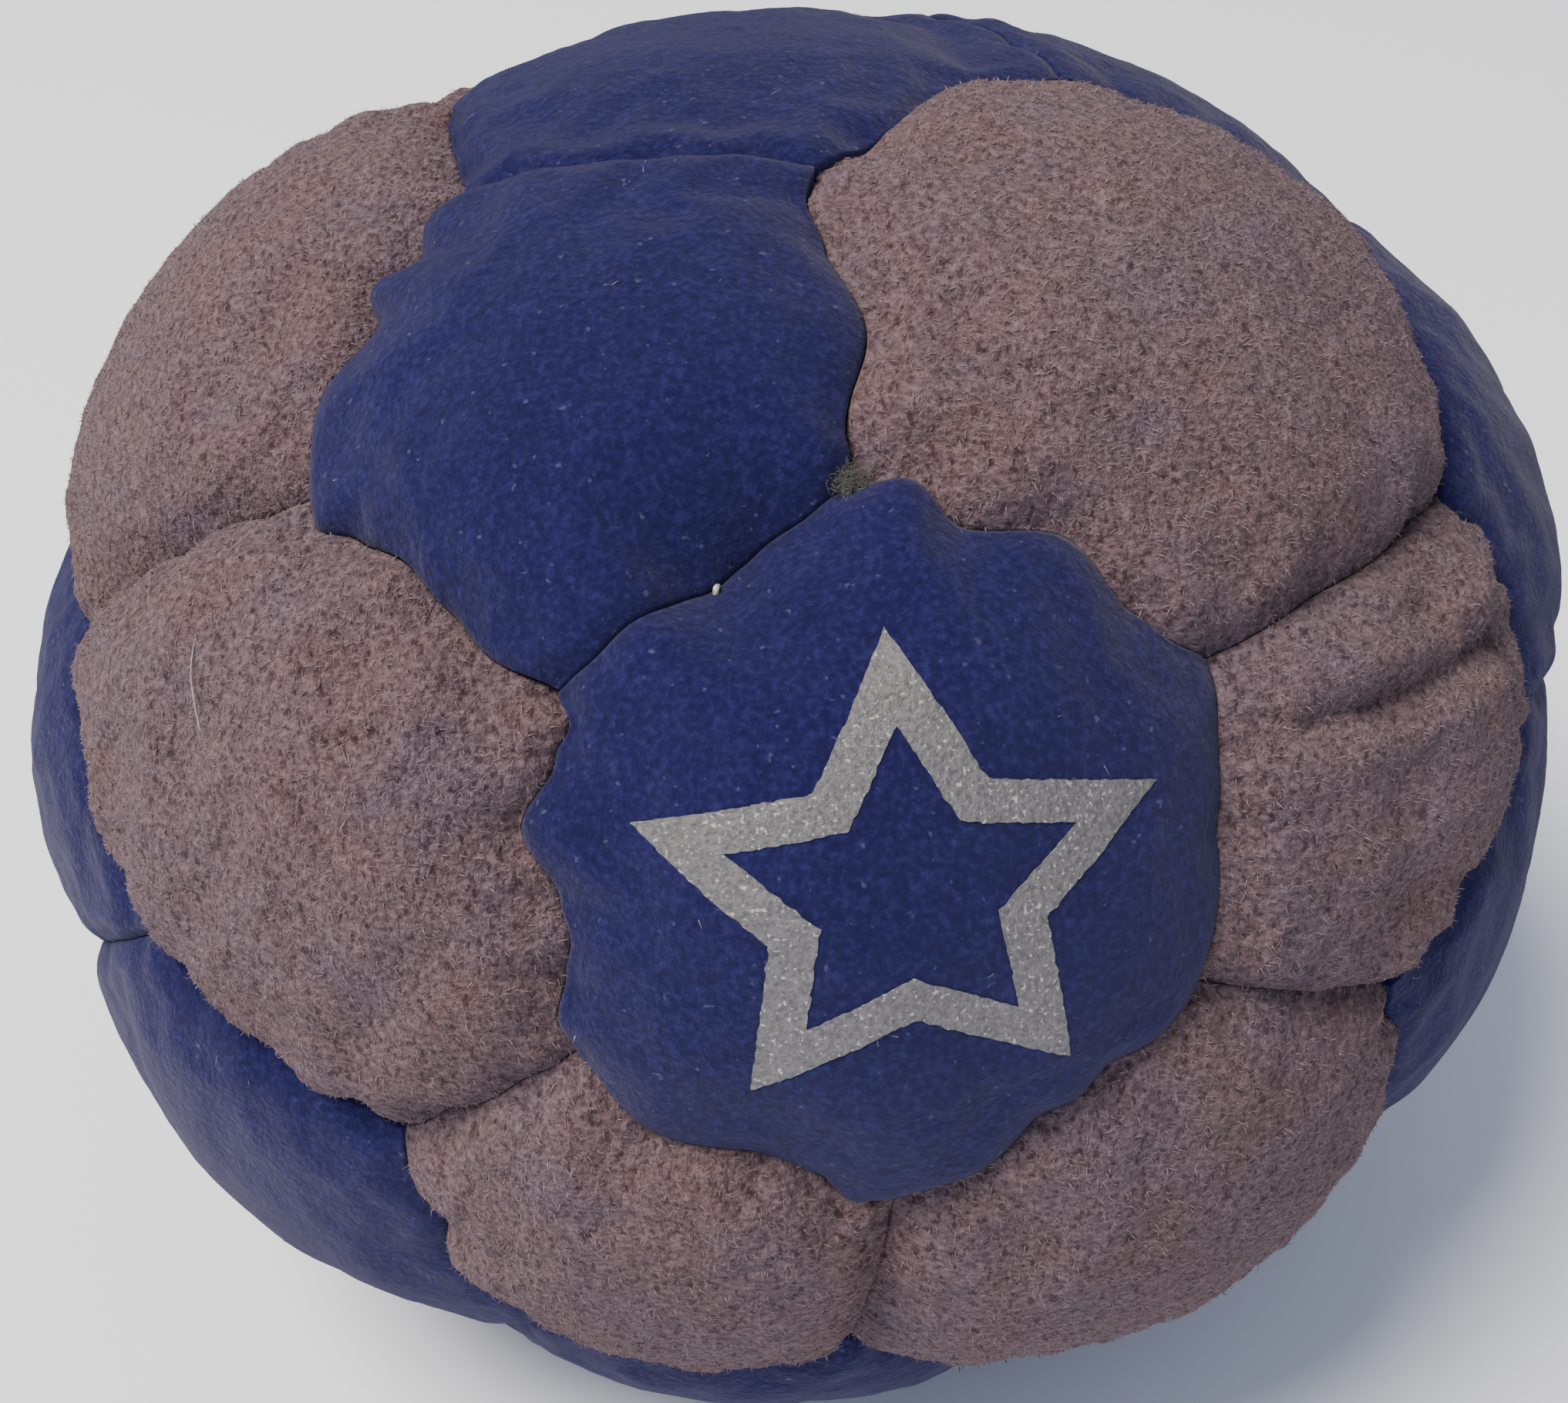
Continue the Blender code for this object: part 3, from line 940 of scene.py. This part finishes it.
# ---------------------------------------------------------------- thread
def seam_paths():
    """The thread of every seam: low in the groove, crossing it at each stitch."""
    paths = []
    for seam in SEAMS.values():
        spots = np.linspace(0, 1, 41)
        nearest = np.abs(spots[:, None] - seam.stitches[None]).argmin(1)
        gap = (spots - seam.stitches[nearest]) * seam.length
        side = np.where(nearest % 2, 1, -1) * np.clip(gap / 0.5, -1, 1) * 0.10
        side = side + seam.wander(spots)
        rise = 0.30 * hump(gap, 0.35) - seam.bed(spots)
        paths.append(settled(seam.line(spots) + np.outer(side / RADIUS, seam.normal), rise))
    return paths


# The seam thread is real, but its near-black colour is painted shade: it is darkened so that it
# reads as the shade of the grooves it lies in.
THREAD_PAINTED_AS_SHADE = plain("thread_fine", (0.018, 0.016, 0.018), 0.3, 0.8)
PALE = plain("pale_thread_fine", (0.42, 0.39, 0.34), 0.25, 0.6)
thread = add_curve("seam_stitches", seam_paths(), THREAD_RADIUS, THREAD_PAINTED_AS_SHADE)
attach(thread, "root")
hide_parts("seam_thread")


def closing_path():
    """The last hand stitches, drawn down into the groove so that only one shows."""
    a, b = sorted(set(FACES[PRINTED_PANEL]) & set(FACES[CLOSED_PANEL]))
    seam = SEAMS[(a, b)]
    spots = np.linspace(STITCH_START, STITCH_START + STITCH_RUN, 80)
    swing = np.sin((spots - STITCH_START) / STITCH_RUN * STITCH_TURNS * np.pi)
    rise = 1.65 * hump(spots - STITCH_SHOWN, 0.025) - seam.bed(spots)
    side = seam.wander(spots) + 0.20 * swing
    return settled(seam.line(spots) + np.outer(side / RADIUS, seam.normal), rise)


closing = add_curve("closing_stitches", [closing_path()], STITCH_RADIUS, PALE)
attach(closing, "root")
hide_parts("closing_stitch")


# ---------------------------------------------------------------- filling
def add_grains(look):
    """The outer layer of the filling's grains, packed into the CAD filling's outline."""
    rng = np.random.default_rng(11)
    outline = bmesh.new()
    outline.from_mesh(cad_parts["filling"].data)
    tree = BVHTree.FromBMesh(outline)
    outline.free()
    pip = bmesh.new()
    bmesh.ops.create_icosphere(pip, subdivisions=2, radius=1.0)
    shape = np.array([v.co[:] for v in pip.verts])
    cells = np.array([[v.index for v in f.verts] for f in pip.faces])
    pip.free()
    turns = np.arange(GRAINS) * np.pi * (3 - 5**0.5)
    heights = 1 - 2 * (np.arange(GRAINS) + 0.5) / GRAINS
    ring = np.sqrt(1 - heights**2)
    even = np.stack([ring * np.cos(turns), ring * np.sin(turns), heights], 1)
    spots = unit(even + rng.normal(size=(GRAINS, 3)) * 0.012)
    middle = Vector((0.0, 0.0, CENTRE * MM))
    points, faces = [], []
    for number, spot in enumerate(spots):
        way = Vector(spot)
        hit, _, _, _ = tree.ray_cast(middle + way * 2 * RADIUS * MM, -way)
        size = GRAIN_RADIUS * rng.uniform(0.85, 1.15, 3) * np.array([1.0, 0.9, 1.15])
        turn = np.array(Euler(rng.uniform(0, 6.28, 3)).to_matrix())
        depth = 1.25 * GRAIN_RADIUS + rng.uniform(0, 0.5)
        place = np.array(hit[:]) - spot * depth * MM
        points.append((shape * size) @ turn.T * MM + place)
        faces.append(cells + number * len(shape))
    points = np.concatenate(points)
    points[:, 2] = np.maximum(points[:, 2], (SUEDE + 0.4) * MM)
    mesh = bpy.data.meshes.new("grains")
    mesh.from_pydata(points.tolist(), [], np.concatenate(faces).tolist())
    mesh.shade_smooth()
    return add_object("grains", mesh, look)


grains = add_grains(plain("grain_fine", (0.42, 0.33, 0.21), 0.8, 0.7))
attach(grains, "root")
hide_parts("filling")


# ---------------------------------------------------------------- floor, light and camera
def add_stage():
    """A pale floor in a soft, slightly cool room light."""
    bpy.ops.mesh.primitive_plane_add(size=12.0, location=(0, 0, -0.0001))
    floor = bpy.context.object
    floor.name = "floor"
    n = Nodes("pale_floor")
    floor.data.materials.append(n.finish(Base_Color=(0.85, 0.87, 0.93, 1.0), Roughness=0.9))
    world = bpy.data.worlds.new("soft_room")
    bpy.context.scene.world = world
    world.use_nodes = True
    world.node_tree.nodes["Background"].inputs["Color"].default_value = (0.78, 0.84, 1.0, 1.0)
    world.node_tree.nodes["Background"].inputs["Strength"].default_value = 0.55


def add_light(name, place, size, power, colour):
    """A round soft light at this place, in metres, that looks at the ball's middle."""
    data = bpy.data.lights.new(name, "AREA")
    data.shape = "DISK"
    data.size = size
    data.energy = power
    data.color = colour
    light = bpy.data.objects.new(name, data)
    light.location = place
    light.rotation_mode = "QUATERNION"
    aim = Vector((0, 0, CENTRE * MM)) - Vector(place)
    light.rotation_quaternion = aim.to_track_quat("-Z", "Y")
    bpy.context.scene.collection.objects.link(light)


def add_camera():
    """Above the horizon and close to the ball, with a slight roll."""
    back = Vector((0.0, -math.cos(ELEVATION), math.sin(ELEVATION)))
    across = Vector((1.0, 0.0, 0.0))
    above = Vector((0.0, math.sin(ELEVATION), math.cos(ELEVATION)))
    right = across * math.cos(ROLL) + above * math.sin(ROLL)
    up = above * math.cos(ROLL) - across * math.sin(ROLL)
    middle = Vector((0.0, 0.0, CENTRE))
    place = middle + back * DISTANCE
    aim = middle - right * AIM_LEFT - up * AIM_DOWN
    back = (place - aim).normalized()
    right = up.cross(back).normalized()
    up = back.cross(right)
    data = bpy.data.cameras.new("camera")
    data.lens = LENS
    data.sensor_width = 36.0
    data.clip_start = 0.005
    data.clip_end = 20.0
    camera = bpy.data.objects.new("camera", data)
    turn = Matrix((right, up, back)).transposed().to_4x4()
    camera.matrix_world = Matrix.Translation(place * MM) @ turn
    bpy.context.scene.collection.objects.link(camera)
    bpy.context.scene.camera = camera


add_stage()
add_light("key", (-0.26, -0.16, 0.60), 0.35, 8.8, (1.0, 0.93, 0.83))
add_light("fill", (-0.15, -0.55, 0.12), 0.5, 1.0, (0.60, 0.72, 1.0))
add_camera()
